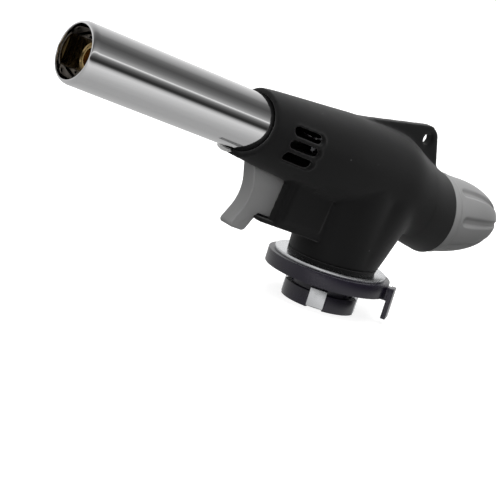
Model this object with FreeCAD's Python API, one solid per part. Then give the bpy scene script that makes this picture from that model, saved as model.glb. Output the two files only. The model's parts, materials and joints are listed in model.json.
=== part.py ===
"""Butane torch head: a piezo-fired burner that locks onto a bayonet gas can.

Frame: origin on the can axis at the plane where the collar ring seats on the can, +X towards
the flame mouth, +Z up along the can axis, +Y to the torch's left. Millimetres.
The barrel axis is tilted nose up. Shapes on it are drawn in the barrel frame, whose X runs
along the barrel, whose Z points up from it, and whose origin is on the can axis.
"""
import FreeCAD, Part
import math
import os

from FreeCAD import Vector

# Driving dimensions
barrel_tilt = 8.5        # degrees, nose up
barrel_height = 38.1     # barrel axis above the can seat, on the can axis
tube_radius = 9.5        # flame tube, outside
tube_wall = 0.5
mouth_s = 118.6          # flame mouth, along the barrel
tube_rear_s = 46.0       # inner end of the flame tube
sleeve_front_s = 52.4    # tip of the housing's front rim
body_half_width = 16.0   # housing at its widest
housing_wall = 1.8
rim_curve = 30.0         # radius of the hollow front rim, seen from the side
rim_x = -34.8            # rear rim, where the knob begins
knob_height = 27.5       # knob and spindle axis above the can seat
rim_radius = 13.8
knob_length = 31.0       # rim to the tip of the knob
key_front_x = -36.4      # front of the flat in the knob's bore
neck_radius = 14.8       # foot of the neck
ring_radius = 20.8       # collar ring
ring_height = 4.6
lug_radius = 12.5        # bayonet lugs
lug_drop = 9.0           # lugs below the can seat
spindle_radius = 2.0
seal_bore = 2.8          # bore that the spindle seal slides in
trigger_width = 6.0
trigger_travel = 6.0

# Fits
running = 0.05           # radial clearance of shafts in holes
gap = 0.3                # between moving pieces that don't bear on each other

# Trigger outline, barrel frame
trigger_rear = 28.5
trigger_front = 39.4     # where the lines of the hollow front would meet
trigger_top = -11.6
trigger_floor = -25.2
trigger_tip = -32.0
lever_s = 34.7           # rear of the lever where it passes the box floor

# Trigger box of the housing, barrel frame
box_half_width = 7.6
box_bottom = -27.1
box_mouth_s = 30.6

# Burner, barrel frame
head_front_s = 113.0
head_radius = 4.9
head_bore = 2.8
mixer_radius = 3.2
mixer_rear_s = 19.0
jet_s = 13.0
clamp_s = 55.0           # bracket and screw that hold the flame tube

# Valve
valve_floor = 5.8        # top of the mounting plate
valve_flange_radius = 12.2
inlet_mouth_z = -4.4     # mouth of the socket for the can's stem
stem_bore = 2.1
chamber_radius = 6.4
chamber_rear_x = -17.0
gland_rear_x = -22.0
thread_pitch = 1.0
knob_turns = 1.25
needle_lift = thread_pitch * knob_turns

# Housing screws: x, z of each boss on the right half
screw_places = {"upper_rear": (-13.0, 45.6), "upper_front": (11.0, 48.4),
                "middle": (17.0, 29.6), "neck": (-9.8, 12.2)}
screw_radius = 1.25
screw_head_radius = 2.4
screw_seat_y = -6.0

big = 200.0
solids = {}


# Helpers

def in_barrel(shape):
    """Move a shape drawn in the barrel frame to the part frame."""
    turn = FreeCAD.Rotation(Vector(0, 1, 0), -barrel_tilt)
    moved = shape.copy()
    moved.Placement = FreeCAD.Placement(Vector(0, 0, barrel_height), turn).multiply(moved.Placement)
    return moved


def cylinder(radius, start, axis, length):
    return Part.makeCylinder(radius, length, Vector(*start), Vector(*axis))


def tube(outer, inner, start, axis, length):
    return cylinder(outer, start, axis, length).cut(cylinder(inner, start, axis, length))


def block(low, high):
    size = [high[i] - low[i] for i in range(3)]
    return Part.makeBox(size[0], size[1], size[2], Vector(*low))


def fuse_all(shapes):
    whole = shapes[0]
    for shape in shapes[1:]:
        whole = whole.fuse(shape)
    return whole.removeSplitter()


def revolve_x(points, height=0.0):
    """Turn an outline of (x, radius) points about a line along X at the given height."""
    corners = [Vector(x, 0, height + r) for x, r in points]
    face = Part.Face(Part.makePolygon(corners + [corners[0]]))
    return face.revolve(Vector(0, 0, height), Vector(1, 0, 0), 360)


def revolve_z(points):
    corners = [Vector(r, 0, z) for r, z in points]
    face = Part.Face(Part.makePolygon(corners + [corners[0]]))
    return face.revolve(Vector(0, 0, 0), Vector(0, 0, 1), 360)


def rounded_outline(points, radii):
    """Closed outline in the XZ plane with each corner rounded by its own radius."""
    edges = []
    starts = []
    ends = []
    count = len(points)
    for i in range(count):
        corner = Vector(points[i][0], 0, points[i][1])
        before = Vector(points[i - 1][0], 0, points[i - 1][1]) - corner
        after = Vector(points[(i + 1) % count][0], 0, points[(i + 1) % count][1]) - corner
        half = before.getAngle(after) / 2
        reach = radii[i] / math.tan(half)
        into = before.normalize()
        out = after.normalize()
        starts.append(corner + into * reach)
        ends.append(corner + out * reach)
        middle = (into + out).normalize() * (radii[i] / math.sin(half) - radii[i])
        if radii[i] > 0:
            edges.append(Part.Arc(starts[i], corner + middle, ends[i]).toShape())
        else:
            edges.append(None)
    wire = []
    for i in range(count):
        if edges[i] is not None:
            wire.append(edges[i])
        if (starts[(i + 1) % count] - ends[i]).Length > 1e-6:
            wire.append(Part.makeLine(ends[i], starts[(i + 1) % count]))
    return Part.Wire(wire)


def slab(outline, half_width):
    """Extrude an XZ outline to both sides of the middle plane."""
    face = Part.Face(outline)
    face.translate(Vector(0, -half_width, 0))
    return face.extrude(Vector(0, 2 * half_width, 0))


def slot(length, width, s, n, y_from, y_to):
    """Round-ended slot along the barrel, cut sideways."""
    reach = (length - width) / 2
    outline = rounded_outline([(s - reach - width / 2, n - width / 2), (s + reach + width / 2, n - width / 2),
                               (s + reach + width / 2, n + width / 2), (s - reach - width / 2, n + width / 2)],
                              [width / 2 - 0.01] * 4)
    face = Part.Face(outline)
    face.translate(Vector(0, y_from, 0))
    return face.extrude(Vector(0, y_to - y_from, 0))


# Housing

def body_section(s, top, bottom, half_width, inset):
    """Closed curve across the barrel: upper and lower halves share the widest line."""
    middle = (top + bottom) / 2
    points = []
    for i in range(24):
        angle = 2 * math.pi * i / 24
        reach = (top if math.sin(angle) > 0 else -bottom) - (middle if math.sin(angle) > 0 else -middle)
        points.append(Vector(s, (half_width - inset) * math.cos(angle),
                             middle + (reach - inset) * math.sin(angle)))
    curve = Part.BSplineCurve()
    curve.interpolate(points, PeriodicFlag=True)
    return Part.Wire(curve.toShape())


def body_loft(inset, front_s, rear_s):
    """The round body from the front rim to behind the knob rim."""
    wide = body_half_width
    rim_drop = knob_height - barrel_height + 5.2
    stations = [(52.5, 10.8, -11.6, 10.9), (46.0, 11.8, -12.4, 12.2), (37.6, 12.6, -12.7, 13.8),
                (24.0, 13.8, -13.9, 15.2), (9.0, 15.1, -15.2, wide), (-5.0, 15.7, -16.0, wide),
                (-13.0, 15.0, -16.6, wide), (-22.0, 11.9, -17.2, wide - 0.8),
                (-31.0, rim_drop + rim_radius + 0.9, rim_drop - rim_radius + 0.6, rim_radius + 0.7),
                (-41.0, rim_drop + rim_radius - 0.6, rim_drop - rim_radius - 0.6, rim_radius)]
    loft = Part.makeLoft([body_section(*station, inset) for station in stations], True, False)
    return loft.common(block((rear_s, -big, -big), (front_s, big, big)))


def neck(inset, bottom, top):
    """Round neck that widens upwards until it meets the body, swept back towards the knob."""
    lean = (body_half_width - 0.3 - neck_radius) / (barrel_height - 2.0 - valve_floor)
    low = neck_radius - inset + lean * (bottom - valve_floor)
    high = neck_radius - inset + lean * (top - valve_floor)
    cone = Part.makeCone(low, high, top - bottom, Vector(0, 0, bottom), Vector(0, 0, 1))
    sweep_top = valve_floor + 27.2
    rings = []
    for x, z, radius in ((0, valve_floor, neck_radius - 0.2), (-10.7, sweep_top, body_half_width - 0.3)):
        rings.append(Part.Wire(Part.makeCircle(radius - inset, Vector(x, 0, z), Vector(0, 0, 1))))
    return cone.fuse(Part.makeLoft(rings, True, True))


def trigger_box(inset):
    """Flat-sided box between the neck and the trigger, with a lip under the trigger."""
    low = box_bottom + inset
    outline = rounded_outline([(0.0, -8.0), (0.0, low), (35.8, low), (36.6, box_bottom + 1.3),
                               (box_mouth_s, box_bottom + 1.35), (box_mouth_s, -8.0)],
                              [0, 0, 0.3, 0.2, 0, 0])
    if inset:
        outline = rounded_outline([(0.0, -8.0), (0.0, low), (trigger_rear - trigger_travel - 1.2, low),
                                   (trigger_rear - trigger_travel - 1.2, -8.0)], [0, 0, 0, 0])
    return in_barrel(slab(outline, box_half_width - inset))


def side_panels():
    """A flat raised panel on each side of the trigger box."""
    outline = rounded_outline([(12.0, -24.6), (28.4, -24.6), (28.4, -11.0), (12.0, -11.0)], [0.8] * 4)
    return in_barrel(slab(outline, box_half_width + 0.5))


fin_corner = (-21.9, 21.5)
fin_hole = (-21.4, 16.8)
fin_hole_radius = 2.0
fin_half_width = 2.0


def hang_fin():
    outline = rounded_outline([(10.5, 14.7), fin_corner, (-24.9, 19.6), (-30.4, 9.4), (-30.0, 2.0), (8.0, 2.0)],
                              [0, 1.6, 1.2, 0, 0, 0])
    return in_barrel(slab(outline, fin_half_width))


def trigger_channel():
    """Space for the trigger and its travel: a pocket in the box and a groove under the sleeve."""
    half = trigger_width / 2 + gap
    top = trigger_top + gap
    rear = trigger_rear - trigger_travel - 0.6
    pocket = block((rear, -half, trigger_floor - gap), (60.0, half, top))
    under = block((lever_s - trigger_travel - gap, -half, -60.0), (60.0, half, top))
    return in_barrel(pocket.fuse(under))


def boss(x, z, y_from, y_to, radius):
    return cylinder(radius, (x, y_from, z), (0, 1, 0), y_to - y_from)


def housing_solid():
    """Both halves in one, still uncut: outer skin less the inside, plus ribs and bosses."""
    body = in_barrel(body_loft(0, 60.0, -60.0))
    outer = fuse_all([body, neck(0, valve_floor, barrel_height - 2.0), trigger_box(0), side_panels(), hang_fin()])
    rim_cutter = in_barrel(cylinder(rim_curve, (sleeve_front_s - 3.7 + rim_curve, -40, 2.9), (0, 1, 0), 80))
    rear_cutter = block((-90, -40, -10), (rim_x, 40, 90))
    outer = outer.cut(rim_cutter).cut(rear_cutter)

    room = in_barrel(body_loft(housing_wall, tube_rear_s - 1.6, -60.0))
    cavity = fuse_all([room, neck(housing_wall, valve_floor - 1, barrel_height - 3.0), trigger_box(housing_wall)])
    cavity = cavity.cut(block((-90, -40, -10), (rim_x + 2.2, 40, 90)))
    knob_bore = cylinder(rim_radius - 1.6, (rim_x - 5, 0, knob_height), (1, 0, 0), 12.0)
    bosses = []
    for x, z in screw_places.values():
        bosses.append(boss(x, z, -big / 8, screw_seat_y + 1.6, screw_head_radius + 1.3))
        bosses.append(boss(x, z, -big / 8, big / 8, screw_radius + 1.3))
    channel_walls = in_barrel(block((trigger_rear - trigger_travel - 1.2, -box_half_width, box_bottom),
                                    (box_mouth_s - 0.2, box_half_width, trigger_top + 1.6)))
    inside_parts = fuse_all([shape.common(outer) for shape in bosses + [channel_walls]])
    shell = outer.cut(cavity).cut(knob_bore).fuse(inside_parts)
    holes = [trigger_channel(), sleeve_bore(), piezo_seat()]
    for x, z in screw_places.values():
        holes.append(boss(x, z, -big / 8, screw_seat_y, screw_head_radius + 0.15))
        holes.append(boss(x, z, screw_seat_y - 1, 6.2, screw_radius))
    for side in (-1, 1):
        for row in (-1, 0, 1):
            holes.append(in_barrel(slot(11.2, 2.9, 36.8, -0.65 + 4.2 * row, 7.0 * side, 24.0 * side)))
    holes.append(in_barrel(cylinder(fin_hole_radius, (fin_hole[0], -10, fin_hole[1]), (0, 1, 0), 20)))
    holes.append(tube(40.0, neck_radius - 0.5, (0, 0, valve_floor + 1.0), (0, 0, 1), 0.7))
    return shell.cut(holes)


def sleeve_bore():
    bore = cylinder(tube_radius + running, (tube_rear_s, 0, 0), (1, 0, 0), 20)
    return in_barrel(bore.fuse(cylinder(tube_radius - 1.2, (tube_rear_s - 4, 0, 0), (1, 0, 0), 10)))


def piezo_seat():
    return in_barrel(block((6.9, -3.05, -24.05), (trigger_rear - trigger_travel, 3.05, -14.95)))


def make_housing():
    whole = housing_solid()
    solids["housing_left"] = whole.common(block((-big, 0, -big), (big, big, big)))
    solids["housing_right"] = whole.common(block((-big, -big, -big), (big, 0, big)))


def make_housing_screws():
    for name, (x, z) in screw_places.items():
        head = cylinder(screw_head_radius, (x, screw_seat_y, z), (0, -1, 0), 1.8)
        drive = cylinder(1.1, (x, screw_seat_y - 0.7, z), (0, -1, 0), 3)
        shank = cylinder(screw_radius, (x, screw_seat_y, z), (0, 1, 0), 11.5)
        solids["housing_screw_" + name] = head.cut(drive).fuse(shank)


# Burner

def make_flame_tube():
    inner = tube_radius - tube_wall
    lip = 1.1            # how far the mouth is rolled in
    shell = revolve_x([(tube_rear_s, inner), (tube_rear_s, tube_radius), (mouth_s - 2.0, tube_radius),
                       (mouth_s - 1.2, tube_radius - 0.12), (mouth_s - 0.5, tube_radius - 0.42),
                       (mouth_s - 0.1, tube_radius - 0.8), (mouth_s, tube_radius - lip),
                       (mouth_s - 0.3, tube_radius - 1.3), (mouth_s - 0.9, tube_radius - 1.15), (mouth_s - 1.6, inner)])
    hole = cylinder(1.0, (clamp_s, 0, -12), (0, 0, 1), 6)
    notch = slot(7.0, 1.2, clamp_s + 7.5, 0, -4, 4)
    notch.rotate(Vector(0, 0, 0), Vector(1, 0, 0), 90)
    notch.translate(Vector(0, 0, -tube_radius))
    solids["flame_tube"] = in_barrel(shell.cut(hole).cut(notch))


def make_tube_clamp():
    """Bracket that carries the mixing tube inside the flame tube, and its screw."""
    ring = tube(mixer_radius + 1.2, mixer_radius, (clamp_s - 2.5, 0, 0), (1, 0, 0), 5)
    leg = block((clamp_s - 2.5, -2.0, -tube_radius + tube_wall + 0.05), (clamp_s + 2.5, 2.0, -mixer_radius - 0.6))
    leg = leg.common(cylinder(tube_radius - tube_wall - 0.02, (clamp_s - 3, 0, 0), (1, 0, 0), 6))
    hole = cylinder(1.0, (clamp_s, 0, -12), (0, 0, 1), 7)
    solids["burner_bracket"] = in_barrel(ring.fuse(leg).cut(hole))
    head = cylinder(2.6, (clamp_s, 0, -tube_radius - 1.6), (0, 0, 1), 1.6)
    crown = Part.makeSphere(4.0, Vector(clamp_s, 0, -tube_radius + 2.4))
    cross = block((clamp_s - 1.3, -0.25, -12), (clamp_s + 1.3, 0.25, -tube_radius - 0.9))
    cross = cross.fuse(block((clamp_s - 0.25, -1.3, -12), (clamp_s + 0.25, 1.3, -tube_radius - 0.9)))
    shank = cylinder(1.0, (clamp_s, 0, -tube_radius), (0, 0, 1), 4.0)
    solids["tube_screw"] = in_barrel(head.common(crown).cut(cross).fuse(shank))


def make_burner():
    bore = mixer_radius + running
    head = revolve_x([(98.0, bore), (98.0, 4.2), (104.0, 4.2), (104.0, head_radius),
                      (head_front_s - 0.5, head_radius), (head_front_s, head_radius - 0.5),
                      (head_front_s, head_bore), (head_front_s - 5, head_bore),
                      (head_front_s - 5, 1.6), (102.0, 1.6), (102.0, bore)])
    solids["burner_head"] = in_barrel(head)
    disc = tube(8.1, 4.2, (102.4, 0, 0), (1, 0, 0), 0.8)
    for i in range(12):
        angle = math.radians(30 * i + 15)
        y, n = 6.3 * math.cos(angle), 6.3 * math.sin(angle)
        disc = disc.cut(cylinder(0.7, (100, y, n), (1, 0, 0), 5))
    electrode_hole = cylinder(1.35, (100, 0, -6.3), (1, 0, 0), 5)
    solids["flame_disc"] = in_barrel(disc.cut(electrode_hole))
    mixer = tube(mixer_radius, mixer_radius - 0.6, (mixer_rear_s, 0, 0), (1, 0, 0), 102.0 - mixer_rear_s)
    for turn in (0, 90):
        port = cylinder(1.6, (mixer_rear_s + 5, 0, -10), (0, 0, 1), 20)
        port.rotate(Vector(0, 0, 0), Vector(1, 0, 0), turn)
        mixer = mixer.cut(port)
    solids["mixing_tube"] = in_barrel(mixer)


def make_igniter():
    """Ceramic insulator and spark wire beside the mixing tube."""
    insulator = cylinder(1.3, (82.0, 0, -6.3), (1, 0, 0), 24.0)
    wire = cylinder(0.4, (80.0, 0, -6.3), (1, 0, 0), 31.0)
    bend = Part.makeSphere(0.4, Vector(111.0, 0, -6.3))
    tip = cylinder(0.4, (111.0, 0, -6.3), (0.55, 0, 1), 1.0)
    solids["spark_insulator"] = in_barrel(insulator.cut(cylinder(0.4, (80.0, 0, -6.3), (1, 0, 0), 31.0)))
    solids["spark_wire"] = in_barrel(fuse_all([wire, bend, tip]))
    clip = cylinder(1.9, (86.0, 0, -6.3), (1, 0, 0), 3.0)
    neck_piece = block((86.0, -1.0, -6.3), (89.0, 1.0, -mixer_radius))
    band = cylinder(mixer_radius + 0.5, (86.0, 0, 0), (1, 0, 0), 3.0)
    whole = fuse_all([band, neck_piece, clip])
    whole = whole.cut(cylinder(1.3, (80, 0, -6.3), (1, 0, 0), 20))
    solids["insulator_clip"] = in_barrel(whole.cut(cylinder(mixer_radius, (80, 0, 0), (1, 0, 0), 20)))


# Valve

def make_valve():
    flange = cylinder(valve_flange_radius, (0, 0, valve_floor), (0, 0, 1), 2.4)
    post = cylinder(5.0, (0, 0, valve_floor), (0, 0, 1), knob_height - valve_floor)
    chamber = cylinder(chamber_radius, (4.5, 0, knob_height), (-1, 0, 0), 4.5 - chamber_rear_x)
    riser = in_barrel(cylinder(5.0, (-6.0, 0, 0), (1, 0, 0), jet_s + 6.0))
    link = block((-6.0, -4.0, knob_height), (3.5, 4.0, barrel_height))
    seat_bore = cylinder(0.9, (-4.3, 0, knob_height), (1, 0, 0), 6.3)
    spindle_bore = cylinder(spindle_radius + running, (-4.2, 0, knob_height), (-1, 0, 0), 40)
    seal_room = cylinder(seal_bore, (-8.7, 0, knob_height), (-1, 0, 0), 2.4 + needle_lift)
    inlet = cylinder(1.5, (0, 0, 0), (0, 0, 1), knob_height)
    outlet = cylinder(0.9, (1.2, 0, knob_height), (0, 0, 1), barrel_height - knob_height)
    passage = in_barrel(cylinder(1.2, (0.2, 0, 0), (1, 0, 0), 20))
    body = fuse_all([flange, post, chamber, riser, link])
    for cut in (seat_bore, spindle_bore, seal_room, inlet, outlet, passage):
        body = body.cut(cut)
    for x, y in plate_screw_places():
        body = body.cut(cylinder(1.0, (x, y, 0), (0, 0, 1), 20))
    solids["valve_body"] = body
    nut = Part.makePolygon([Vector(chamber_rear_x, 5.6 * math.cos(math.radians(a)),
                                   knob_height + 5.6 * math.sin(math.radians(a))) for a in range(0, 420, 60)])
    nut = Part.Face(nut).extrude(Vector(gland_rear_x - chamber_rear_x, 0, 0))
    solids["gland_nut"] = nut.cut(spindle_bore)
    jet = revolve_x([(jet_s, 0.0), (jet_s, mixer_radius + 1.0), (mixer_rear_s, mixer_radius + 1.0),
                     (mixer_rear_s, 2.2), (mixer_rear_s + 3.0, 1.2), (mixer_rear_s + 3.0, 0.0)])
    jet = jet.cut(cylinder(0.35, (jet_s - 1, 0, 0), (1, 0, 0), 20))
    jet = jet.cut(cylinder(1.2, (jet_s - 1, 0, 0), (1, 0, 0), mixer_rear_s - jet_s))
    solids["gas_jet"] = in_barrel(jet)


def plate_screw_places():
    return [(6.2 * math.cos(math.radians(a)), 6.2 * math.sin(math.radians(a))) for a in (60, 180, 300)]


def make_inlet():
    """Socket that takes the can's stem, with its seal inside the mouth."""
    mouth = inlet_mouth_z
    socket = revolve_z([(1.0, valve_floor), (3.4, valve_floor), (3.4, mouth + 0.5), (2.9, mouth), (stem_bore, mouth),
                        (stem_bore, mouth + 2.9), (1.0, mouth + 2.9)])
    groove = tube(stem_bore + 0.75, stem_bore - 0.2, (0, 0, mouth + 0.7), (0, 0, 1), 1.2)
    solids["inlet_socket"] = socket.cut(groove)
    solids["inlet_seal"] = Part.makeTorus(stem_bore + 0.2, 0.5, Vector(0, 0, mouth + 1.3))


def make_spindle():
    tip_x = -3.2
    body = revolve_x([(tip_x, 0.0), (tip_x, 0.3), (-5.9, spindle_radius - 0.2), (-6.4, spindle_radius),
                      (rim_x - 12.6, spindle_radius), (rim_x - 13.0, spindle_radius - 0.4),
                      (rim_x - 13.0, 0.0)], knob_height)
    groove = tube(3.0, 1.3, (-10.5, 0, knob_height), (1, 0, 0), 1.5)
    flat = block((rim_x - 14.0, -3, knob_height + 1.4), (key_front_x + needle_lift + gap, 3, knob_height + 3))
    solids["needle_spindle"] = body.cut(groove).cut(flat)
    seal = Part.makeTorus(2.05, 0.72, Vector(-9.75, 0, knob_height), Vector(1, 0, 0))
    solids["spindle_seal"] = seal.cut(body.cut(groove))


# Knob

def dome_radius(t):
    """Knob radius from the rim (t = 0) to the tip (t = 1)."""
    power = 2.2
    return rim_radius * (1 - t ** power) ** (1 / power)


def make_knob():
    steps = 22
    outline = [(rim_x + 2.0, rim_radius - 1.65), (rim_x - 0.25, rim_radius - 1.65), (rim_x - 0.25, rim_radius)]
    for i in range(1, steps):
        t = math.sin(math.pi / 2 * i / steps)
        outline.append((rim_x - 0.25 - (knob_length - 0.25) * t, dome_radius(t)))
    outline.append((rim_x - knob_length, 0.0))
    wall = 2.0
    inside = [(rim_x + 2.1, 0.0), (rim_x + 2.1, rim_radius - 1.65 - wall)]
    for i in range(0, 10):
        t = math.sin(math.pi / 2 * i / 10) * 0.82
        inside.append((rim_x - 1.0 - (knob_length - 4.0) * t, dome_radius(t) - wall - 1.65 * (1 - i / 9)))
    inside.append((inside[-1][0], 0.0))
    dome = revolve_x(outline + [(rim_x + 2.0, 0.0)], knob_height)
    hollow = revolve_x(inside, knob_height)
    hub = cylinder(4.2, (rim_x - 1.0, 0, knob_height), (-1, 0, 0), knob_length - 4.0)
    bore = cylinder(spindle_radius + running, (rim_x + 3, 0, knob_height), (-1, 0, 0), 20.0)
    key = block((rim_x - 18.0, -3, knob_height + 1.45), (key_front_x, 3, knob_height + 3))
    ribs = [block((rim_x - 20.0, -0.6, knob_height - 11.0), (rim_x - 2.0, 0.6, knob_height + 11.0)),
            block((rim_x - 20.0, -11.0, knob_height - 0.6), (rim_x - 2.0, 11.0, knob_height + 0.6))]
    core = fuse_all([hub.cut(bore.cut(key))] + [rib.cut(cylinder(4.0, (rim_x + 3, 0, knob_height), (-1, 0, 0), 50))
                                                for rib in ribs]).common(dome)
    body = dome.cut(hollow).fuse(core)
    for i in range(8):
        start = Vector(rim_x - 4.6, 0, knob_height + rim_radius + 2.5)
        run = Vector(-(knob_length - 7.0), 0, -6.0)
        flute = Part.makeCylinder(2.9, run.Length, start, run).fuse(Part.makeSphere(2.9, start))
        flute.rotate(Vector(0, 0, knob_height), Vector(1, 0, 0), 45.0 * i + 4.0)
        body = body.cut(flute)
    solids["control_knob"] = body


# Collar and bayonet

def make_collar():
    skirt = tube(ring_radius, 18.0, (0, 0, 0), (0, 0, 1), ring_height)
    web = tube(18.2, 13.0 + running, (0, 0, 1.3), (0, 0, 1), ring_height - 1.3)
    guide = block((19.5, -1.8, -0.8), (22.4, 1.8, 3.6))
    bar = block((21.6, -3.2, -6.6), (23.2, 3.2, 3.6))
    tab = guide.fuse(bar)
    tab.rotate(Vector(0, 0, 0), Vector(0, 0, 1), 130)
    clear = cylinder(18.1, (0, 0, -20), (0, 0, 1), 40)
    solids["lock_collar"] = fuse_all([skirt, web, tab.cut(clear)])

    journal = cylinder(13.0, (0, 0, 1.1), (0, 0, 1), ring_height + 0.1 - 1.1)
    flange = cylinder(15.8, (0, 0, -0.6), (0, 0, 1), 1.7)
    core = cylinder(10.4, (0, 0, -lug_drop), (0, 0, 1), lug_drop)
    bore = cylinder(8.6, (0, 0, -lug_drop - 1), (0, 0, 1), lug_drop - 0.4)
    throat = cylinder(3.45, (0, 0, -5), (0, 0, 1), 20)
    hub = fuse_all([journal, flange, core])
    for i in range(4):
        lug = tube(lug_radius, 10.0, (0, 0, -lug_drop), (0, 0, 1), 5.2).common(lug_wedge(65, 90 * i))
        hub = hub.fuse(lug)
    hub = hub.cut(bore).cut(throat)
    for x, y in plate_screw_places():
        hub = hub.cut(cylinder(1.1, (x, y, -20), (0, 0, 1), 40))
        hub = hub.cut(cylinder(1.75, (x, y, -20), (0, 0, 1), 21.0))
    tabs = bayonet_tabs()
    solids["bayonet_hub"] = hub.cut(bayonet_tabs(0.05)).removeSplitter()
    solids["bayonet_tabs"] = tabs

    plate = tube(18.9, 3.45, (0, 0, ring_height + 0.1), (0, 0, 1), valve_floor - ring_height - 0.1)
    for number, (x, y) in enumerate(plate_screw_places()):
        plate = plate.cut(cylinder(1.1, (x, y, -20), (0, 0, 1), 40))
        head = cylinder(1.6, (x, y, 1.0), (0, 0, -1), 1.5)
        drive = cylinder(0.8, (x, y, 0.2), (0, 0, -1), 3.0)
        shank = cylinder(1.0, (x, y, 1.0), (0, 0, 1), valve_floor + 1.2)
        solids["plate_screw_%d" % (number + 1)] = head.cut(drive).fuse(shank)
    solids["mounting_plate"] = plate


def lug_wedge(width, turn):
    reach = 30.0
    half = math.radians(width / 2)
    corners = [Vector(0, 0, -20), Vector(reach, -reach * math.tan(half), -20),
               Vector(reach, reach * math.tan(half), -20)]
    wedge = Part.Face(Part.makePolygon(corners + [corners[0]])).extrude(Vector(0, 0, 40))
    wedge.rotate(Vector(0, 0, 0), Vector(0, 0, 1), turn)
    return wedge


def bayonet_tabs(clearance=0.0):
    """Metal ring moulded into the hub's wall, with a tab between each pair of lugs."""
    band = tube(9.9 + clearance, 9.1 - clearance, (0, 0, -3.4 - clearance), (0, 0, 1), 1.8 + 2 * clearance)
    shapes = [band]
    for turn in (45, 135, 225, 315):
        arm = block((9.4, -2.8 - clearance, -3.4 - clearance), (12.4, 2.8 + clearance, -2.4 + clearance))
        tab = block((11.4 - clearance, -2.8 - clearance, -8.4 - clearance),
                    (12.4 + clearance, 2.8 + clearance, -2.4 + clearance))
        piece = arm.fuse(tab)
        piece.rotate(Vector(0, 0, 0), Vector(0, 0, 1), turn)
        shapes.append(piece)
    return fuse_all(shapes)


# Trigger

def make_trigger():
    outline = rounded_outline([(trigger_rear, trigger_top), (trigger_rear, trigger_floor), (lever_s, trigger_floor),
                               (lever_s + 2.6, trigger_tip), (trigger_front + 4.6, trigger_tip),
                               (trigger_front, -21.5), (trigger_front + 3.8, trigger_top)],
                              [3.2, 0.8, 0.8, 1.6, 1.2, 13.0, 0.4])
    body = slab(outline, trigger_width / 2)
    socket = cylinder(2.05, (trigger_rear - 1, 0, -19.5), (1, 0, 0), 6.0)
    solids["trigger"] = in_barrel(body.cut(socket))
    plunger = cylinder(2.0, (trigger_rear - trigger_travel - 7.0, 0, -19.5), (1, 0, 0), trigger_travel + 12.0)
    solids["piezo_plunger"] = in_barrel(plunger)
    body = block((7.0, -3.0, -24.0), (trigger_rear - trigger_travel - 0.4, 3.0, -15.0))
    well = cylinder(2.0 + running, (trigger_rear - 2 * trigger_travel - 7.6, 0, -19.5), (1, 0, 0), 30)
    solids["piezo_unit"] = in_barrel(body.cut(well))


def main():
    make_housing()
    make_housing_screws()
    make_flame_tube()
    make_tube_clamp()
    make_burner()
    make_igniter()
    make_valve()
    make_inlet()
    make_spindle()
    make_knob()
    make_collar()
    make_trigger()
    os.makedirs("parts", exist_ok=True)
    for name, shape in solids.items():
        print(name, shape.isValid(), len(shape.Solids), round(shape.Volume, 1))
        shape.exportStep("parts/" + name + ".step")


main()
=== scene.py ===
import bpy
import bmesh
import json
import math
from mathutils import Matrix, Vector


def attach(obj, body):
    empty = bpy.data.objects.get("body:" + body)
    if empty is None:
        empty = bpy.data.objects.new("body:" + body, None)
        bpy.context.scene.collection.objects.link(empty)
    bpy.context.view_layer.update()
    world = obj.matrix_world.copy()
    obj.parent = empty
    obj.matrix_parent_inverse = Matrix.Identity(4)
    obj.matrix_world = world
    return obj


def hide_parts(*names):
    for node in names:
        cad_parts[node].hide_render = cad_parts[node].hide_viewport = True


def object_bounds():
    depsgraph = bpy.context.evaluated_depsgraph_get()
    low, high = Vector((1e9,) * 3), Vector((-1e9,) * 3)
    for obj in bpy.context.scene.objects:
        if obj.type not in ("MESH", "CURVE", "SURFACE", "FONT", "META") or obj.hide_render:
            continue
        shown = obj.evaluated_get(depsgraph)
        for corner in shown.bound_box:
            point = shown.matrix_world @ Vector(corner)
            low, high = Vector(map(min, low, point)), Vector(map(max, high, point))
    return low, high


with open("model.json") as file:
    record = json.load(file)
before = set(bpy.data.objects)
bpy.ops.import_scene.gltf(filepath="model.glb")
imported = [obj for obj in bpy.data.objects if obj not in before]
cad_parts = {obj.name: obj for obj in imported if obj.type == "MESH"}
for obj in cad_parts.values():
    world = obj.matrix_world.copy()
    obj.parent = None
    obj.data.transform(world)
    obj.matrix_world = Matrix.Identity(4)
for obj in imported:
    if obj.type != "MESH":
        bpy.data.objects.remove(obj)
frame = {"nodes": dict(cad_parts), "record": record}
cadLow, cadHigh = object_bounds()
nodes = frame["nodes"]
mm = 0.001

# ---------- the barrel's own frame: x along the barrel, z up from it ----------
barrel = {"tilt": 8.5, "height": 38.1, "sleeveFront": 52.4}
barrelFrame = Matrix.Translation((0, 0, barrel["height"])) @ Matrix.Rotation(-math.radians(barrel["tilt"]), 4, "Y")
toMetres = Matrix.Diagonal((mm, mm, mm, 1.0))
knobHeight = 27.5
rimX = -34.8
rimRadius = 13.8


def alongX(x, y=0.0, z=0.0):
    # places a shape made about Z so that it runs along X
    return Matrix.Translation((x, y, z)) @ Matrix.Rotation(math.pi / 2, 4, "Y")


def alongY(x, y, z):
    return Matrix.Translation((x, y, z)) @ Matrix.Rotation(-math.pi / 2, 4, "X")


def addBox(bm, low, high, place=None, round=0.0, segments=3):
    size = [high[i] - low[i] for i in range(3)]
    centre = [(high[i] + low[i]) / 2 for i in range(3)]
    local = Matrix.Translation(centre) @ Matrix.Diagonal((size[0], size[1], size[2], 1.0))
    made = bmesh.ops.create_cube(bm, size=1.0, matrix=(place or Matrix()) @ local)
    if round > 0:
        edges = list({e for v in made["verts"] for e in v.link_edges})
        bmesh.ops.bevel(bm, geom=edges, offset=round, segments=segments, profile=0.5, affect="EDGES", material=-1)


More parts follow.
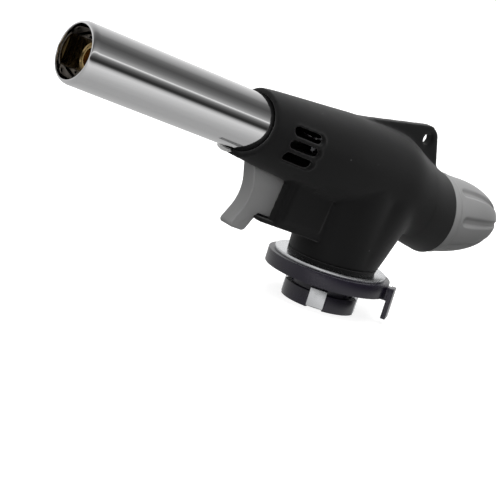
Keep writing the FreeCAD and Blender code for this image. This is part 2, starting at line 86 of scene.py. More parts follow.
def addRod(bm, radius, length, place, endRadius=None, segments=64):
    # a rod that starts at the place's origin and runs along its z
    lift = Matrix.Translation((0, 0, length / 2))
    return bmesh.ops.create_cone(bm, cap_ends=True, segments=segments, radius1=radius,
                                 radius2=radius if endRadius is None else endRadius,
                                 depth=length, matrix=place @ lift)


def spinProfile(bm, profile, height=0.0, steps=128):
    # turns an open outline of (x, radius) about the X axis at a height; both ends may reach the axis
    verts = [bm.verts.new((x, 0, height + r)) for x, r in profile]
    edges = [bm.edges.new(pair) for pair in zip(verts, verts[1:])]
    bmesh.ops.spin(bm, geom=verts + edges, cent=(0, 0, height), axis=(1, 0, 0), angle=math.tau, steps=steps,
                   use_merge=True)
    bmesh.ops.remove_doubles(bm, verts=bm.verts, dist=0.0005)
    bmesh.ops.recalc_face_normals(bm, faces=bm.faces)


def slabFromOutline(bm, outline, halfWidth, place=None, round=0.0, segments=3):
    # an outline of (x, z) points thickened to both sides of the middle plane
    verts = [bm.verts.new((x, -halfWidth, z)) for x, z in outline]
    face = bm.faces.new(verts)
    made = bmesh.ops.extrude_face_region(bm, geom=[face])
    moved = [g for g in made["geom"] if isinstance(g, bmesh.types.BMVert)]
    bmesh.ops.translate(bm, verts=moved, vec=(0, 2 * halfWidth, 0))
    faces = list({f for v in verts + moved for f in v.link_faces})
    bmesh.ops.recalc_face_normals(bm, faces=faces)
    if round > 0:
        edges = [e for e in {e for v in verts + moved for e in v.link_edges}
                 if abs(e.verts[0].co.y - e.verts[1].co.y) < 1e-6]
        out = bmesh.ops.bevel(bm, geom=edges, offset=round, segments=segments, profile=0.5, affect="EDGES",
                              material=-1, clamp_overlap=True)
        verts = [v for f in out["faces"] for v in f.verts]
        moved = [v for f in faces if f.is_valid for v in f.verts]
    if place is not None:
        bmesh.ops.transform(bm, matrix=place, verts=list(set(verts + moved)))


def linkMesh(bm, name):
    mesh = bpy.data.meshes.new(name)
    bm.to_mesh(mesh)
    bm.free()
    piece = bpy.data.objects.new(name, mesh)
    bpy.context.collection.objects.link(piece)
    return piece


def toObject(bm, name):
    # from millimetres to metres
    bmesh.ops.transform(bm, matrix=toMetres, verts=bm.verts)
    return linkMesh(bm, name)


def applyModifiers(piece):
    graph = bpy.context.evaluated_depsgraph_get()
    mesh = bpy.data.meshes.new_from_object(piece.evaluated_get(graph))
    old = piece.data
    piece.modifiers.clear()
    piece.data = mesh
    bpy.data.meshes.remove(old)


def cut(piece, cutter, operation="DIFFERENCE"):
    mod = piece.modifiers.new("cut", "BOOLEAN")
    mod.object = cutter
    mod.operation = operation
    mod.solver = "MANIFOLD"
    applyModifiers(piece)
    bpy.data.objects.remove(cutter)


def smoothShade(piece, angle=35.0):
    # soft normals, with a hard line only where two faces meet at more than the angle
    mesh = piece.data
    limit = math.radians(angle)
    bm = bmesh.new()
    bm.from_mesh(mesh)
    for face in bm.faces:
        face.smooth = True
    for edge in bm.edges:
        edge.smooth = not (edge.is_manifold and edge.calc_face_angle(0.0) > limit)
    bm.to_mesh(mesh)
    bm.free()


# ---------- materials ----------

def makeGrainGroup():
    # moulded grain: a fine height for bump, and a slow mask that varies gloss and colour
    group = bpy.data.node_groups.new("mouldGrain", "ShaderNodeTree")
    for name, start in (("Fine Scale", 6000.0), ("Cloud Scale", 90.0)):
        socket = group.interface.new_socket(name, in_out="INPUT", socket_type="NodeSocketFloat")
        socket.default_value = start
    group.interface.new_socket("Height", in_out="OUTPUT", socket_type="NodeSocketFloat")
    group.interface.new_socket("Cloud", in_out="OUTPUT", socket_type="NodeSocketFloat")
    tree = group.nodes
    into = tree.new("NodeGroupInput")
    out = tree.new("NodeGroupOutput")
    coord = tree.new("ShaderNodeTexCoord")
    fine = tree.new("ShaderNodeTexNoise")
    fine.inputs["Detail"].default_value = 3.0
    cloud = tree.new("ShaderNodeTexNoise")
    cloud.inputs["Detail"].default_value = 4.0
    link = group.links.new
    link(coord.outputs["Object"], fine.inputs["Vector"])
    link(coord.outputs["Object"], cloud.inputs["Vector"])
    link(into.outputs["Fine Scale"], fine.inputs["Scale"])
    link(into.outputs["Cloud Scale"], cloud.inputs["Scale"])
    link(fine.outputs["Fac"], out.inputs["Height"])
    link(cloud.outputs["Fac"], out.inputs["Cloud"])
    return group


grainGroup = makeGrainGroup()


def makeSpeckGroup():
    # sparse dust specks
    group = bpy.data.node_groups.new("dustSpecks", "ShaderNodeTree")
    group.interface.new_socket("Scale", in_out="INPUT", socket_type="NodeSocketFloat").default_value = 420.0
    group.interface.new_socket("Speck", in_out="OUTPUT", socket_type="NodeSocketFloat")
    tree = group.nodes
    into = tree.new("NodeGroupInput")
    out = tree.new("NodeGroupOutput")
    coord = tree.new("ShaderNodeTexCoord")
    cells = tree.new("ShaderNodeTexVoronoi")
    cells.inputs["Randomness"].default_value = 1.0
    near = tree.new("ShaderNodeMapRange")
    near.inputs["From Min"].default_value = 0.10
    near.inputs["From Max"].default_value = 0.04
    rare = tree.new("ShaderNodeMath")
    rare.operation = "GREATER_THAN"
    rare.inputs[1].default_value = 0.80
    both = tree.new("ShaderNodeMath")
    both.operation = "MULTIPLY"
    link = group.links.new
    link(coord.outputs["Object"], cells.inputs["Vector"])
    link(into.outputs["Scale"], cells.inputs["Scale"])
    link(cells.outputs["Distance"], near.inputs["Value"])
    link(cells.outputs["Color"], rare.inputs[0])
    link(near.outputs["Result"], both.inputs[0])
    link(rare.outputs["Value"], both.inputs[1])
    link(both.outputs["Value"], out.inputs["Speck"])
    return group


speckGroup = makeSpeckGroup()


def newMaterial(name):
    material = bpy.data.materials.new(name)
    material.use_nodes = True
    tree = material.node_tree
    shader = tree.nodes["Principled BSDF"]
    return material, tree, shader


def placeGroup(tree, group, **values):
    node = tree.nodes.new("ShaderNodeGroup")
    node.node_tree = group
    for name, value in values.items():
        node.inputs[name.replace("_", " ")].default_value = value
    return node


def mixColours(tree, mask, first, second, into):
    mix = tree.nodes.new("ShaderNodeMix")
    mix.data_type = "RGBA"
    mix.inputs["A"].default_value = (*first, 1.0)
    mix.inputs["B"].default_value = (*second, 1.0)
    tree.links.new(mask, mix.inputs["Factor"])
    if into is not None:
        tree.links.new(mix.outputs["Result"], into)
    return mix


def spread(tree, source, low, high, into):
    # stretches a 0.3-0.7 noise to a range
    remap = tree.nodes.new("ShaderNodeMapRange")
    remap.inputs["From Min"].default_value = 0.3
    remap.inputs["From Max"].default_value = 0.7
    remap.inputs["To Min"].default_value = low
    remap.inputs["To Max"].default_value = high
    tree.links.new(source, remap.inputs["Value"])
    tree.links.new(remap.outputs["Result"], into)


def bumpFrom(tree, height, strength, distance, shader):
    bump = tree.nodes.new("ShaderNodeBump")
    bump.inputs["Strength"].default_value = strength
    bump.inputs["Distance"].default_value = distance
    tree.links.new(height, bump.inputs["Height"])
    tree.links.new(bump.outputs["Normal"], shader.inputs["Normal"])


def mouldedPlastic(name, dark, light, rough, fineScale=6000.0, bump=0.25, specks=False, coat=0.0, sheen=0.0,
                   specular=0.5):
    material, tree, shader = newMaterial(name)
    grain = placeGroup(tree, grainGroup, Fine_Scale=fineScale, Cloud_Scale=90.0)
    mix = mixColours(tree, grain.outputs["Cloud"], dark, light, None if specks else shader.inputs["Base Color"])
    if specks:
        speck = placeGroup(tree, speckGroup, Scale=260.0)
        dusty = tree.nodes.new("ShaderNodeMix")
        dusty.data_type = "RGBA"
        dusty.inputs["B"].default_value = (0.05, 0.05, 0.05, 1.0)
        tree.links.new(speck.outputs["Speck"], dusty.inputs["Factor"])
        tree.links.new(mix.outputs["Result"], dusty.inputs["A"])
        tree.links.new(dusty.outputs["Result"], shader.inputs["Base Color"])
    spread(tree, grain.outputs["Cloud"], rough[0], rough[1], shader.inputs["Roughness"])
    bumpFrom(tree, grain.outputs["Height"], bump, 0.00004, shader)
    shader.inputs["Specular IOR Level"].default_value = specular
    shader.inputs["Coat Weight"].default_value = coat
    shader.inputs["Coat Roughness"].default_value = 0.2
    shader.inputs["Sheen Weight"].default_value = sheen
    shader.inputs["Sheen Roughness"].default_value = 0.5
    return material


def metal(name, dark, light, rough, grainScale=(60.0, 4000.0, 4000.0), bump=0.05):
    # metal with drawn or turned lines: a noise stretched along one axis
    material, tree, shader = newMaterial(name)
    coord = tree.nodes.new("ShaderNodeTexCoord")
    place = tree.nodes.new("ShaderNodeMapping")
    place.inputs["Rotation"].default_value = (0, math.radians(barrel["tilt"]), 0)
    place.inputs["Scale"].default_value = grainScale
    lines = tree.nodes.new("ShaderNodeTexNoise")
    lines.inputs["Scale"].default_value = 1.0
    lines.inputs["Detail"].default_value = 2.0
    tree.links.new(coord.outputs["Object"], place.inputs["Vector"])
    tree.links.new(place.outputs["Vector"], lines.inputs["Vector"])
    mixColours(tree, lines.outputs["Fac"], dark, light, shader.inputs["Base Color"])
    spread(tree, lines.outputs["Fac"], rough[0], rough[1], shader.inputs["Roughness"])
    bumpFrom(tree, lines.outputs["Fac"], bump, 0.00002, shader)
    shader.inputs["Metallic"].default_value = 1.0
    return material


finishes = {
    "housing": mouldedPlastic("softTouchBlack", (0.004, 0.004, 0.0042), (0.008, 0.008, 0.0082), (0.46, 0.58),
                              7000.0, 0.35, specks=True, sheen=0.14, specular=0.12),
    "grey_plastic": mouldedPlastic("satinGrey", (0.235, 0.235, 0.235), (0.265, 0.265, 0.265), (0.38, 0.48),
                                   5200.0, 0.12, specular=0.4),
    "collar_plastic": mouldedPlastic("glossBlackViolet", (0.010, 0.008, 0.016), (0.017, 0.014, 0.026),
                                     (0.20, 0.32), 4000.0, 0.08, coat=0.15),
    "piezo_plastic": mouldedPlastic("piezoCase", (0.012, 0.012, 0.012), (0.02, 0.02, 0.02), (0.3, 0.4)),
    "tube_chrome": metal("polishedChrome", (0.77, 0.77, 0.775), (0.83, 0.83, 0.835), (0.04, 0.08)),
    "plate_zinc": metal("brightZinc", (0.72, 0.73, 0.75), (0.86, 0.87, 0.88), (0.16, 0.30),
                        (900.0, 900.0, 900.0), 0.2),
    "valve_zinc": metal("diecastZinc", (0.42, 0.43, 0.45), (0.52, 0.53, 0.55), (0.35, 0.5),
                        (700.0, 700.0, 700.0), 0.4),
    "burner_brass": metal("turnedBrass", (0.52, 0.36, 0.15), (0.66, 0.48, 0.22), (0.18, 0.32),
                          (4000.0, 300.0, 300.0), 0.15),
    "disc_steel": metal("tintedSteel", (0.42, 0.37, 0.31), (0.56, 0.52, 0.46), (0.3, 0.45),
                        (600.0, 600.0, 600.0), 0.2),
    "bracket_steel": metal("pressedSteel", (0.5, 0.5, 0.5), (0.62, 0.62, 0.62), (0.25, 0.4)),
    "screw_steel": metal("zincPlatedSteel", (0.60, 0.60, 0.60), (0.75, 0.75, 0.74), (0.15, 0.28),
                         (800.0, 800.0, 800.0), 0.1),
    "seal_rubber": mouldedPlastic("sealRubber", (0.010, 0.010, 0.010), (0.018, 0.018, 0.018), (0.55, 0.7)),
    "ceramic": mouldedPlastic("glazedCeramic", (0.72, 0.70, 0.64), (0.80, 0.78, 0.73), (0.15, 0.25), coat=0.3),
}
print("materials ready", len(finishes))


def finishPiece(piece, slotName, body, *replaced):
    piece.data.materials.clear()
    piece.data.materials.append(finishes[slotName])
    if replaced:
        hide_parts(*replaced)
    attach(piece, body)


slotOf = {part["node"]: part["material_slot"] for part in frame["record"]["subparts"]}
for nodeName, nodeObject in nodes.items():
    nodeObject.data.materials.clear()
    nodeObject.data.materials.append(finishes[slotOf[nodeName]])

# ---------- housing ----------

housing = {"wall": 1.8, "widest": 16.0, "neckFoot": 14.8, "neckBottom": 5.8, "sweep": 10.7, "sweepTop": 33.0,
           "rear": -40.9, "roomRear": -40.8, "tubeRear": 46.0, "tubeBore": 9.55, "rimCurve": 30.0,
           "boxHalfWidth": 7.6, "boxBottom": -27.1, "boxMouth": 30.6, "pocketRear": 21.9, "channelTop": -11.3,
           "channelHalfWidth": 3.3, "underRear": 28.4, "finHalfWidth": 2.0, "screwWell": 2.55,
           "voxel": 0.42, "softening": 5, "blending": 40}
screwSpots = ((-13.0, 45.6), (11.0, 48.4), (17.0, 29.6), (-9.8, 12.2))
# stations along the barrel: place, top, bottom, half width
rimDrop = knobHeight - barrel["height"] + 5.2
stations = [(-41.0, rimDrop + 13.2, rimDrop - 14.4, 13.8), (-31.0, rimDrop + 14.7, rimDrop - 13.2, 14.5),
            (-22.0, 11.9, -17.2, 15.2), (-13.0, 15.0, -16.6, 16.0), (-5.0, 15.7, -16.0, 16.0),
            (9.0, 15.1, -15.2, 16.0), (24.0, 13.8, -13.9, 15.2), (37.6, 12.6, -12.7, 13.8),
            (46.0, 11.8, -12.4, 12.2), (52.5, 10.8, -11.6, 10.9)]


def sectionAt(s):
    # smooth values between stations (cubic through the neighbours' slopes)
    last = len(stations) - 2
    i = 0
    while i < last and s > stations[i + 1][0]:
        i += 1
    a, b = stations[i], stations[i + 1]
    before, after = stations[max(i - 1, 0)], stations[min(i + 2, last + 1)]
    t = (s - a[0]) / (b[0] - a[0])
    values = []
    for k in (1, 2, 3):
        m0 = (b[k] - before[k]) / (b[0] - before[0]) * (b[0] - a[0])
        m1 = (after[k] - a[k]) / (after[0] - a[0]) * (b[0] - a[0])
        values.append((2 * t**3 - 3 * t**2 + 1) * a[k] + (t**3 - 2 * t**2 + t) * m0
                      + (-2 * t**3 + 3 * t**2) * b[k] + (t**3 - t**2) * m1)
    return values


def bodyTube(bm, inset, rear, front, rings=64, segments=96):
    # rings across the barrel, bridged into one closed body
    loops = []
    for i in range(rings + 1):
        s = rear + (front - rear) * i / rings
        top, bottom, width = sectionAt(s)
        spot = barrelFrame @ Matrix.Translation((s, 0, (top + bottom) / 2)) @ Matrix.Rotation(math.pi / 2, 4, "Y")
        size = Matrix.Diagonal(((top - bottom) / 2 - inset, width - inset, 1.0, 1.0))
        made = bmesh.ops.create_circle(bm, cap_ends=i in (0, rings), segments=segments, radius=1.0,
                                       matrix=spot @ size)
        loops.append(list({e for v in made["verts"] for e in v.link_edges}))
    for first, second in zip(loops, loops[1:]):
        bmesh.ops.bridge_loops(bm, edges=first + second)
    bmesh.ops.recalc_face_normals(bm, faces=bm.faces)


def neckCone(bm, inset, bottom, top):
    lean = (housing["widest"] - 0.3 - housing["neckFoot"]) / (barrel["height"] - 2.0 - housing["neckBottom"])
    foot = housing["neckFoot"] - inset + lean * (bottom - housing["neckBottom"])
    head = housing["neckFoot"] - inset + lean * (top - housing["neckBottom"])
    addRod(bm, foot, top - bottom, Matrix.Translation((0, 0, bottom)), head, 128)


def neckSweep(bm, inset, bottom):
    # the neck's rear leans back towards the knob
    height = housing["sweepTop"] - bottom
    lean = Matrix.Identity(4)
    lean[0][2] = -housing["sweep"] / (housing["sweepTop"] - housing["neckBottom"])
    addRod(bm, housing["neckFoot"] - 0.2 - inset, height, Matrix.Identity(4), housing["widest"] - 0.3 - inset, 128)
    bmesh.ops.transform(bm, matrix=Matrix.Translation((0, 0, bottom)) @ lean, verts=bm.verts)


def solidFrom(build, name, *settings, **named):
    bm = bmesh.new()
    build(bm, *settings, **named)
    return toObject(bm, name)


finOutline = [(10.5, 14.7), (-20.6, 21.35), (-21.7, 21.35), (-22.8, 20.9), (-24.3, 20.0), (-25.1, 19.2), (-30.4, 9.4),
              (-30.0, 2.0), (8.0, 2.0)]
vents = {"length": 11.2, "width": 2.9, "middle": 36.8, "pitch": 4.2, "drop": -0.65, "rimWidth": 0.6,
         "rimHeight": 0.4}


def ventShape(bm, row, side, grow, low, high):
    # a round-ended bar that points sideways
    half = (vents["length"] - vents["width"]) / 2
    radius = vents["width"] / 2 + grow
    place = barrelFrame @ Matrix.Translation((vents["middle"], 0, vents["drop"] + vents["pitch"] * row))
    addBox(bm, (-half - radius, min(low * side, high * side), -radius),
           (half + radius, max(low * side, high * side), radius))
    corner = [e for e in bm.edges if abs((e.verts[0].co - e.verts[1].co).normalized().y) > 0.9]
    bmesh.ops.bevel(bm, geom=corner, offset=radius * 0.98, segments=10, profile=0.5, affect="EDGES", material=-1)
    bmesh.ops.transform(bm, matrix=place, verts=bm.verts)


def buildHousing():
    shell = solidFrom(bodyTube, "housingBody", 0.0, housing["rear"], barrel["sleeveFront"])
    cut(shell, solidFrom(neckCone, "neck", 0.0, housing["neckBottom"] - 1.5, barrel["height"] - 2.0), "UNION")
    cut(shell, solidFrom(neckSweep, "neckRear", 0.0, housing["neckBottom"] - 1.5), "UNION")
    half = housing["boxHalfWidth"]
    floor = housing["boxBottom"]
    parts = [((0.0, -half, floor), (housing["boxMouth"], half, -8.0), 0.9),
             ((12.0, -half - 0.5, -24.6), (28.4, half + 0.5, -11.0), 0.4),
             ((20.0, -half, floor), (36.6, half, floor + 1.35), 0.5)]
    for low, high, soft in parts:
        cut(shell, solidFrom(addBox, "boxPart", low, high, barrelFrame, soft), "UNION")
    cut(shell, solidFrom(slabFromOutline, "fin", finOutline, housing["finHalfWidth"], barrelFrame), "UNION")
    for side in (-1, 1):
        for row in (-1, 0, 1):
            rim = solidFrom(ventShape, "ventRim", row, side, vents["rimWidth"], 9.0, 40.0)
            lift = solidFrom(bodyTube, "skin", -vents["rimHeight"], 28.0, 47.0, 24)
            cut(rim, lift, "INTERSECT")
            cut(shell, rim, "UNION")

    # hollow
    cut(shell, solidFrom(bodyTube, "room", housing["wall"], housing["roomRear"], housing["tubeRear"] - 1.6))
    wall = housing["wall"]
    cut(shell, solidFrom(neckCone, "neckRoom", wall, housing["neckBottom"] - 3, barrel["height"] - 3.0))
    cut(shell, solidFrom(neckSweep, "neckRearRoom", wall, housing["neckBottom"] - 3))
    cut(shell, solidFrom(addBox, "boxRoom", (0.0, wall - half, floor + wall), (21.5, half - wall, -8.0), barrelFrame))
    return shell


def openHousing(shell):
    width = housing["channelHalfWidth"]
    top = housing["channelTop"]
    cut(shell, solidFrom(addBox, "pocket", (housing["pocketRear"], -width, -25.5), (60.0, width, top), barrelFrame))
    cut(shell, solidFrom(addBox, "under", (housing["underRear"], -width, -60.0), (60.0, width, top), barrelFrame))
    cut(shell, solidFrom(addRod, "bore", housing["tubeBore"], 30.0, barrelFrame @ alongX(housing["tubeRear"]),
                         segments=128))
    cut(shell, solidFrom(addRod, "boreStep", 8.3, 10.0, barrelFrame @ alongX(42.0), segments=96))
    reach = housing["rimCurve"]
    cut(shell, solidFrom(addRod, "rimCut", reach, 80.0, barrelFrame @ alongY(48.7 + reach, -40.0, 2.9), segments=256))
    cut(shell, solidFrom(addBox, "rearCut", (-90, -40, -10), (rimX - 1.2, 40, 90)))
    cut(shell, solidFrom(addRod, "knobBore", rimRadius - 1.6, 12.0, alongX(rimX - 5.0, 0, knobHeight), segments=128))
    for side in (-1, 1):
        for row in (-1, 0, 1):
            cut(shell, solidFrom(ventShape, "vent", row, side, 0.0, 7.0, 24.0))
    cut(shell, solidFrom(addRod, "finHole", 2.0, 20.0, barrelFrame @ alongY(-21.4, -10, 16.8), segments=48))


def relax(bm, verts, times):
    for _ in range(times):
        bmesh.ops.smooth_vert(bm, verts=verts, factor=0.5, use_axis_x=True, use_axis_y=True, use_axis_z=True)


def soften(shell):
    # fine skin over everything, then relaxed so that the joins flow into each other
    remesh = shell.modifiers.new("skin", "REMESH")
    remesh.mode = "VOXEL"
    remesh.voxel_size = housing["voxel"] * mm
    applyModifiers(shell)
    bm = bmesh.new()
    bm.from_mesh(shell.data)
    relax(bm, bm.verts, housing["softening"])
    # broad blends where the neck and the trigger box leave the body
    joins = [v for v in bm.verts if 13.5 * mm < v.co.z < 33 * mm and abs(v.co.x) < 24 * mm
             and abs(v.co.y) > 8.2 * mm]
    relax(bm, joins, housing["blending"])
    trimFlat(bm, (0, 0, housing["neckBottom"] * mm), (0, 0, 1))
    trimFlat(bm, (rimX * mm, 0, 0), (1, 0, 0))
    bm.to_mesh(shell.data)
    bm.free()
    groove = solidFrom(addRod, "footGroove", 30.0, 0.7, Matrix.Translation((0, 0, 6.8)), segments=128)
    cut(groove, solidFrom(addRod, "grooveFloor", housing["neckFoot"] - 0.45, 3.0, Matrix.Translation((0, 0, 5.5)),
                          segments=128))
    cut(shell, groove)


def trimFlat(bm, point, normal, keepFront=True):
    # cuts away everything on one side of a plane and closes the section
    geometry = list(bm.verts) + list(bm.edges) + list(bm.faces)
    bmesh.ops.bisect_plane(bm, geom=geometry, dist=1e-7, plane_co=point, plane_no=normal,
                           clear_inner=keepFront, clear_outer=not keepFront)
    border = [e for e in bm.edges if e.is_boundary]
    bmesh.ops.triangle_fill(bm, edges=border, use_beauty=True, use_dissolve=False)


def splitHalf(shell, name, keepLeft):
    bm = bmesh.new()
    bm.from_mesh(shell.data)
    trimFlat(bm, (0, 0, 0), (0, 1, 0), keepLeft)
    return linkMesh(bm, name)


shell = buildHousing()
openHousing(shell)
soften(shell)
shellRight = splitHalf(shell, "housingRight", False)
for spotX, spotZ in screwSpots:
    cut(shellRight, solidFrom(addRod, "screwWell", housing["screwWell"], 24.0, alongY(spotX, -30.0, spotZ),
                              segments=48))
shellLeft = splitHalf(shell, "housingLeft", True)
bpy.data.objects.remove(shell)
smoothShade(shellLeft, 50.0)
smoothShade(shellRight, 50.0)
finishPiece(shellLeft, "housing", "torch", "housing_left")
finishPiece(shellRight, "housing", "torch", "housing_right")
print("housing", len(shellLeft.data.polygons), len(shellRight.data.polygons))

# ---------- flame tube ----------

tube = {"radius": 9.5, "wall": 0.5, "rear": 46.0, "mouth": 118.6, "rollLength": 2.3, "rollDepth": 1.1,
        "slotFrom": 58.0, "slotLength": 7.0}


def buildTube(bm):
    r, wall, mouth, roll = tube["radius"], tube["wall"], tube["mouth"], tube["rollLength"]
    outline = [(tube["rear"], r - wall), (tube["rear"], r - 0.1), (tube["rear"] + 0.1, r), (60.0, r), (80.0, r),
               (100.0, r), (mouth - roll, r)]
    for i in range(1, 10):                                       # the mouth rolls inwards
        turn = math.pi / 2 * i / 10
        outline.append((mouth - roll + roll * math.sin(turn), r - tube["rollDepth"] * (1 - math.cos(turn))))
    outline += [(mouth - 0.02, r - 1.15), (mouth - 0.2, r - 1.27), (mouth - 0.5, r - 1.25), (mouth - 0.9, r - 1.1),
                (mouth - 1.4, r - 0.72), (mouth - 2.0, r - wall - 0.04), (mouth - 2.6, r - wall),
                (100.0, r - wall), (80.0, r - wall), (60.0, r - wall), (tube["rear"], r - wall)]
    spinProfile(bm, outline, 0.0, 192)
    bmesh.ops.transform(bm, matrix=barrelFrame, verts=bm.verts)


flameTube = solidFrom(buildTube, "flameTube")
slotPlace = barrelFrame @ Matrix.Translation((0, 0, -tube["radius"]))
slotEnd = tube["slotFrom"] + tube["slotLength"]
cut(flameTube, solidFrom(addBox, "tubeSlot", (tube["slotFrom"], -0.6, -3), (slotEnd, 0.6, 2), slotPlace))
smoothShade(flameTube, 40.0)
finishPiece(flameTube, "tube_chrome", "torch", "flame_tube")

# ---------- control knob ----------

knob = {"length": 31.0, "radius": rimRadius, "power": 2.2, "band": 3.2, "flutes": 8, "fluteDepth": 0.95,
        "fluteWidth": 0.40, "fluteTurn": 0.41, "seam": 0.25}


def domeRadius(t):
    return knob["radius"] * (1 - t ** knob["power"]) ** (1 / knob["power"])


def buildKnob(bm):
    start = rimX - knob["seam"]
    r = knob["radius"]
    neck = r - 1.65
    outline = [(rimX + 2.0, 0.0), (rimX + 2.0, 7.0), (rimX + 2.0, neck - 0.3), (rimX + 1.7, neck), (rimX + 0.1, neck),
               (start + 0.02, neck + 0.05), (start, neck + 0.5), (start, r - 0.3), (start - 0.12, r - 0.1),
               (start - 0.35, r - 0.02)]
    steps = 110
    for i in range(1, steps):
        t = math.sin(math.pi / 2 * i / steps)
        x = start - 0.35 - (knob["length"] - 0.6) * t
        radius = domeRadius((rimX - x) / knob["length"])
        # a small step where the smooth band ends
        radius -= 0.32 * smoothStep((rimX - knob["band"] - x) / 0.5)
        outline.append((x, radius))
    outline.append((rimX - knob["length"] + 0.05, 0.0))
    spinProfile(bm, outline, knobHeight, 240)
    for v in bm.verts:
        fluteVert(v)


def smoothStep(t):
    t = min(max(t, 0.0), 1.0)
    return t * t * (3 - 2 * t)


def fluteVert(v):
    # sinks shallow grooves with flat floors between broad lands
    back = (rimX - v.co.x) / knob["length"]
    y, z = v.co.y, v.co.z - knobHeight
    radius = math.hypot(y, z)
    if radius < 1.0:
        return
    turn = (math.atan2(z, y) / math.tau * knob["flutes"] + knob["fluteTurn"]) % 1.0
    across = abs(turn - 0.5) / (knob["fluteWidth"] / 2)
    begin = smoothStep((back - (knob["band"] + 1.6) / knob["length"]) / 0.05 - 0.8 * across * across)
    groove = 1 - smoothStep((across - 0.25) / 0.75)
    fade = smoothStep((0.985 - back) / 0.12)
    sink = knob["fluteDepth"] * begin * groove * fade
    v.co.y -= y / radius * sink
    v.co.z -= z / radius * sink


controlKnob = solidFrom(buildKnob, "controlKnob")
smoothShade(controlKnob, 50.0)
finishPiece(controlKnob, "grey_plastic", "knob", "control_knob")
print("knob", len(controlKnob.data.polygons))

# ---------- trigger ----------

trigger = {"halfWidth": 3.0, "round": 0.55}


def arcPoints(centre, radius, fromDegrees, toDegrees, count):
    step = (toDegrees - fromDegrees) / count
    return [(centre[0] + radius * math.cos(math.radians(fromDegrees + step * i)),
             centre[1] + radius * math.sin(math.radians(fromDegrees + step * i))) for i in range(count + 1)]


def buildTrigger(bm):
    outline = arcPoints((31.7, -14.8), 3.2, 90, 180, 10)            # rounded rear top
    outline += arcPoints((29.3, -24.4), 0.8, 180, 270, 4)           # rear bottom
    outline += arcPoints((34.15, -26.0), 0.8, 90, 21, 4)            # into the lever
    outline += arcPoints((38.4, -30.4), 1.6, 201, 270, 6)           # finger tip, rear
    outline += arcPoints((42.1, -30.8), 1.2, 270, 384, 8)           # finger tip, front
    outline += arcPoints((53.56, -21.4), 13.0, 204, 157, 12)        # hollow for the finger
    outline += arcPoints((43.1, -12.0), 0.4, -23, 90, 4)
    slabFromOutline(bm, outline, trigger["halfWidth"], barrelFrame, trigger["round"], 4)


triggerPiece = solidFrom(buildTrigger, "triggerLever")
cut(triggerPiece, solidFrom(addRod, "plungerSocket", 2.05, 6.0, barrelFrame @ alongX(27.7, 0, -19.5)))
smoothShade(triggerPiece, 40.0)
finishPiece(triggerPiece, "grey_plastic", "trigger", "trigger")

# ---------- collar, hub and plate: the CAD shapes with softened edges ----------

edges = {"lock_collar": 0.35, "bayonet_hub": 0.3, "bayonet_tabs": 0.12, "mounting_plate": 0.15, "tube_screw": 0.08,
         "burner_head": 0.1, "inlet_socket": 0.1, "flame_disc": 0.06}


def softenedCopy(node, name, width):
    bm = bmesh.new()
    bm.from_mesh(nodes[node].data)
    bmesh.ops.remove_doubles(bm, verts=bm.verts, dist=2e-6)
    bmesh.ops.dissolve_limit(bm, angle_limit=math.radians(0.6), verts=bm.verts, edges=bm.edges,
                             use_dissolve_boundaries=False)
    sharp = [e for e in bm.edges if e.is_manifold and e.calc_face_angle(0.0) > math.radians(35)]
    bmesh.ops.bevel(bm, geom=sharp, offset=width * mm, segments=3, profile=0.5, affect="EDGES", material=-1,
                    clamp_overlap=True)
    bmesh.ops.triangulate(bm, faces=bm.faces)
    piece = linkMesh(bm, name)
    smoothShade(piece, 32.0)
    return piece


for node, width in edges.items():
    words = node.split("_")
    piece = softenedCopy(node, words[0] + "".join(word.capitalize() for word in words[1:]), width)
    finishPiece(piece, slotOf[node], "collar" if node == "lock_collar" else "torch", node)
print("collar, hub, plate and burner ready")

# ---------- stage, lights and camera ----------

floorBm = bmesh.new()
bmesh.ops.create_grid(floorBm, x_segments=1, y_segments=1, size=6000.0,
                      matrix=Matrix.Translation((0, 0, -9.05)))
floor = toObject(floorBm, "floor")
floorMaterial, _, floorShader = newMaterial("paleFloor")
floorShader.inputs["Base Color"].default_value = (0.50, 0.50, 0.50, 1.0)
floorShader.inputs["Roughness"].default_value = 1.0
floorShader.inputs["Specular IOR Level"].default_value = 0.0
floorShader.inputs["Emission Color"].default_value = (1.0, 1.0, 1.0, 1.0)
floorShader.inputs["Emission Strength"].default_value = 0.80
floor.visible_diffuse = False
floor.visible_glossy = False
floor.data.materials.append(floorMaterial)

studio = {"backdrop": 1.0, "bandStrength": 1.0, "ambient": 1.0}
# brightness seen by polished metal, by the angle round the barrel: 0 is level on the camera's side, 90 overhead
roomBands = [(-180, 0.60), (-133, 0.50), (-104, 0.42), (-72, 0.42), (-50, 0.50), (-30, 0.66), (-19, 0.76), (-12, 0.58),
             (-6, 0.22), (-2, 0.035), (4, 0.03), (12, 0.10), (20, 0.25), (23.5, 0.5), (26.5, 1.0), (29.5, 0.45),
             (36, 0.33), (45, 0.20), (55, 0.135), (68, 0.088), (80, 0.12), (94, 0.185), (103, 0.33), (115, 0.45),
             (138, 0.66), (160, 0.90), (180, 0.60)]
# soft light on dull surfaces, from below (-1) to overhead (1)
ambientBands = [(-1, 0.06), (-0.2, 0.18), (0.2, 0.34), (0.6, 0.5), (1, 0.7)]


def grayRamp(tree, stops, low, high):
    ramp = tree.nodes.new("ShaderNodeValToRGB")
    ramp.color_ramp.interpolation = "LINEAR"
    while len(ramp.color_ramp.elements) > 1:
        ramp.color_ramp.elements.remove(ramp.color_ramp.elements[0])
    for i, (place, bright) in enumerate(stops):
        spot = (place - low) / (high - low)
        stop = ramp.color_ramp.elements[0] if i == 0 else ramp.color_ramp.elements.new(spot)
        stop.position = spot
        stop.color = (bright, bright, bright, 1.0)
    return ramp


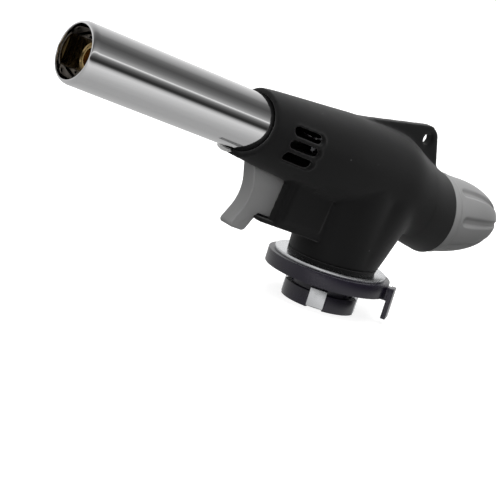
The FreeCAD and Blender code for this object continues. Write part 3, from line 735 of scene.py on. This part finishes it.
def makeWorld():
    world = bpy.data.worlds.new("studioRoom")
    bpy.context.scene.world = world
    world.use_nodes = True
    tree = world.node_tree
    tree.nodes.clear()
    link = tree.links.new
    coord = tree.nodes.new("ShaderNodeTexCoord")
    lean = tree.nodes.new("ShaderNodeMapping")
    lean.vector_type = "VECTOR"
    lean.inputs["Rotation"].default_value = (0, math.radians(barrel["tilt"]), 0)
    split = tree.nodes.new("ShaderNodeSeparateXYZ")
    angle = tree.nodes.new("ShaderNodeMath")
    angle.operation = "ARCTAN2"
    turn = tree.nodes.new("ShaderNodeMapRange")
    turn.inputs["From Min"].default_value = -math.pi
    turn.inputs["From Max"].default_value = math.pi
    link(coord.outputs["Generated"], lean.inputs["Vector"])
    link(lean.outputs["Vector"], split.inputs["Vector"])
    link(split.outputs["Z"], angle.inputs[0])
    link(split.outputs["Y"], angle.inputs[1])
    link(angle.outputs["Value"], turn.inputs["Value"])
    bands = grayRamp(tree, roomBands, -180, 180)
    link(turn.outputs["Result"], bands.inputs["Fac"])
    upright = tree.nodes.new("ShaderNodeSeparateXYZ")
    height = tree.nodes.new("ShaderNodeMapRange")
    height.inputs["From Min"].default_value = -1.0
    soft = grayRamp(tree, ambientBands, -1, 1)
    link(coord.outputs["Generated"], upright.inputs["Vector"])
    link(upright.outputs["Z"], height.inputs["Value"])
    link(height.outputs["Result"], soft.inputs["Fac"])
    room = tree.nodes.new("ShaderNodeBackground")
    room.inputs["Strength"].default_value = studio["bandStrength"]
    ambient = tree.nodes.new("ShaderNodeBackground")
    ambient.inputs["Strength"].default_value = studio["ambient"]
    plain = tree.nodes.new("ShaderNodeBackground")
    plain.inputs["Color"].default_value = (1.0, 1.0, 1.0, 1.0)
    plain.inputs["Strength"].default_value = studio["backdrop"]
    link(bands.outputs["Color"], room.inputs["Color"])
    link(soft.outputs["Color"], ambient.inputs["Color"])
    path = tree.nodes.new("ShaderNodeLightPath")
    dull = tree.nodes.new("ShaderNodeMixShader")
    seen = tree.nodes.new("ShaderNodeMixShader")
    out = tree.nodes.new("ShaderNodeOutputWorld")
    link(path.outputs["Is Diffuse Ray"], dull.inputs["Fac"])
    link(room.outputs["Background"], dull.inputs[1])
    link(ambient.outputs["Background"], dull.inputs[2])
    link(path.outputs["Is Camera Ray"], seen.inputs["Fac"])
    link(dull.outputs["Shader"], seen.inputs[1])
    link(plain.outputs["Background"], seen.inputs[2])
    link(seen.outputs["Shader"], out.inputs["Surface"])


makeWorld()


def addLight(name, place, aim, size, power, glossy=False):
    light = bpy.data.lights.new(name, "AREA")
    light.shape = "DISK"
    light.size = size
    light.energy = power
    lamp = bpy.data.objects.new(name, light)
    lamp.location = place
    lamp.rotation_mode = "QUATERNION"
    lamp.rotation_quaternion = (Vector(aim) - Vector(place)).to_track_quat("-Z", "Y")
    lamp.visible_camera = False
    lamp.visible_glossy = glossy
    bpy.context.collection.objects.link(lamp)


centre = (cadLow + cadHigh) / 2
addLight("topSoftbox", (0.1, 0.1, 1.2), centre, 0.9, 12.0)
addLight("keyLight", (0.9, 0.9, 0.8), centre, 0.7, 6.0)
addLight("rearFill", (-0.9, -0.7, 0.9), centre, 0.9, 5.0)
addLight("frontFill", (0.9, 0.75, -0.25), centre, 0.8, 13.0)


def makeCamera():
    eye = Vector((0.377242, 0.409763, 0.114255))
    aim = Vector((0.035006, 0.0, 0.0053))
    roll = math.radians(-17.212)
    camera = bpy.data.cameras.new("camera")
    camera.lens = 124.243
    camera.sensor_width = 36.0
    camera.clip_start = 0.01
    camera.clip_end = 50.0
    holder = bpy.data.objects.new("camera", camera)
    holder.location = eye
    forward = (aim - eye).normalized()
    holder.rotation_mode = "QUATERNION"
    holder.rotation_quaternion = Matrix.Rotation(roll, 3, forward).to_quaternion() @ forward.to_track_quat("-Z", "Y")
    bpy.context.collection.objects.link(holder)
    bpy.context.scene.camera = holder


makeCamera()
bpy.context.scene.view_settings.view_transform = "Standard"
